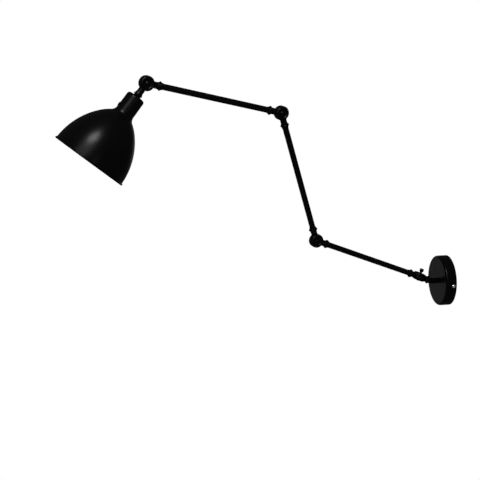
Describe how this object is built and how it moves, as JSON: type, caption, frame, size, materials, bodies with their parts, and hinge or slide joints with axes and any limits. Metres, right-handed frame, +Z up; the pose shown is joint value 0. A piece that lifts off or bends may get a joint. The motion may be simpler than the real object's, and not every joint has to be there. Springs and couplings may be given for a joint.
{
  "type": "articulating wall lamp",
  "caption": "Wall lamp with a round canopy, jointed tube arms that swing and fold on disc knuckles, and a bell shade that tilts at the end.",
  "frame": {"origin": "centre of the wall bracket's back face, on the wall and midway between its two wall screw slots", "axes": "wall plane is X = 0 and the lamp stands out along -X, +Z is up, and +Y runs along the wall, away from the viewer of the picture"},
  "size_m": [0.9178, 0.3592, 0.5636],
  "materials": {
    "cord_sheath": "matt",
    "fibre": "matt",
    "zinc_steel": "satin",
    "nickel": "polished",
    "brass": "satin",
    "porcelain": "glazed",
    "opal_glass": "frosted",
    "black_glaze": "gloss",
    "black_plastic": "matt",
    "blackened_steel": "satin",
    "black_paint": "satin"
  },
  "bodies": {
    "wall_side": {"base_knuckle_wall_half": "black_paint", "base_nut": "blackened_steel", "canopy": "black_paint", "canopy_screws": "nickel", "earth_screw": "brass", "stem_nipple": "zinc_steel", "stem_nut": "zinc_steel", "stem_washer": "zinc_steel", "terminal_block": "porcelain", "terminal_screws": "brass", "wall_bracket": "zinc_steel", "wall_collar": "black_paint", "wall_cord": "cord_sheath", "wall_stem": "black_paint"},
    "arm_1": {"arm_1_cord": "cord_sheath", "arm_1_inner_collar": "black_paint", "arm_1_inner_half": "black_paint", "arm_1_outer_collar": "black_paint", "arm_1_outer_half": "black_paint", "arm_1_tube": "black_paint", "arm_1_washer": "fibre"},
    "arm_2": {"arm_2_cord": "cord_sheath", "arm_2_inner_collar": "black_paint", "arm_2_inner_half": "black_paint", "arm_2_outer_collar": "black_paint", "arm_2_outer_half": "black_paint", "arm_2_tube": "black_paint", "arm_2_washer": "fibre", "elbow_1_nut": "blackened_steel", "elbow_1_screw": "blackened_steel"},
    "arm_3": {"arm_3_cord": "cord_sheath", "arm_3_inner_collar": "black_paint", "arm_3_inner_half": "black_paint", "arm_3_outer_collar": "black_paint", "arm_3_outer_half": "black_paint", "arm_3_tube": "black_paint", "arm_3_washer": "fibre", "elbow_2_nut": "blackened_steel", "elbow_2_screw": "blackened_steel"},
    "head": {"bulb_cap": "brass", "bulb_contact_tip": "black_glaze", "bulb_glass": "opal_glass", "centre_contact": "brass", "head_collar": "black_paint", "head_cord": "cord_sheath", "head_knuckle_half": "black_paint", "head_nut": "blackened_steel", "head_screw": "blackened_steel", "head_washer": "fibre", "holder_nut": "zinc_steel", "lampholder_core": "porcelain", "lampholder_cover": "black_paint", "screw_shell": "brass", "shade": "black_paint", "shade_ring": "black_plastic", "switch_body": "black_plastic", "switch_nut": "nickel"},
    "clamp": {"clamp_screw": "blackened_steel"},
    "switch_turner": {"switch_knob": "black_plastic"}
  },
  "joints": [
    {"name": "base_swing", "type": "hinge", "parent": "wall_side", "child": "arm_1", "pos_m": [-0.07156, 0, 0.01225], "axis": [0.3827, 0, 0.9239], "range_deg": [-79, 50]},
    {"name": "elbow_1_fold", "type": "hinge", "parent": "arm_1", "child": "arm_2", "pos_m": [-0.34909, -0.07657, 0.1272], "axis": [-0.2282, 0.969, 0.0945], "range_deg": [-58, 31]},
    {"name": "elbow_2_fold", "type": "hinge", "parent": "arm_2", "child": "arm_3", "pos_m": [-0.44264, -0.12701, 0.41842], "axis": [-0.2282, 0.969, 0.0945], "range_deg": [-57, 22.5]},
    {"name": "head_tilt", "type": "hinge", "parent": "arm_3", "child": "head", "pos_m": [-0.73518, -0.20265, 0.48768], "axis": [-0.2282, 0.969, 0.0945], "range_deg": [-50, 64.5]},
    {"name": "clamp_turn", "type": "hinge", "parent": "wall_side", "child": "clamp", "pos_m": [-0.07156, 0, 0.01225], "axis": [0.3827, 0, 0.9239], "range_deg": [-180, 180]},
    {"name": "switch_turn", "type": "hinge", "parent": "head", "child": "switch_turner", "pos_m": [-0.78522, -0.18651, 0.44415], "axis": [-0.438, 0.8574, 0.2703], "range_deg": [0, 90]}
  ]
}
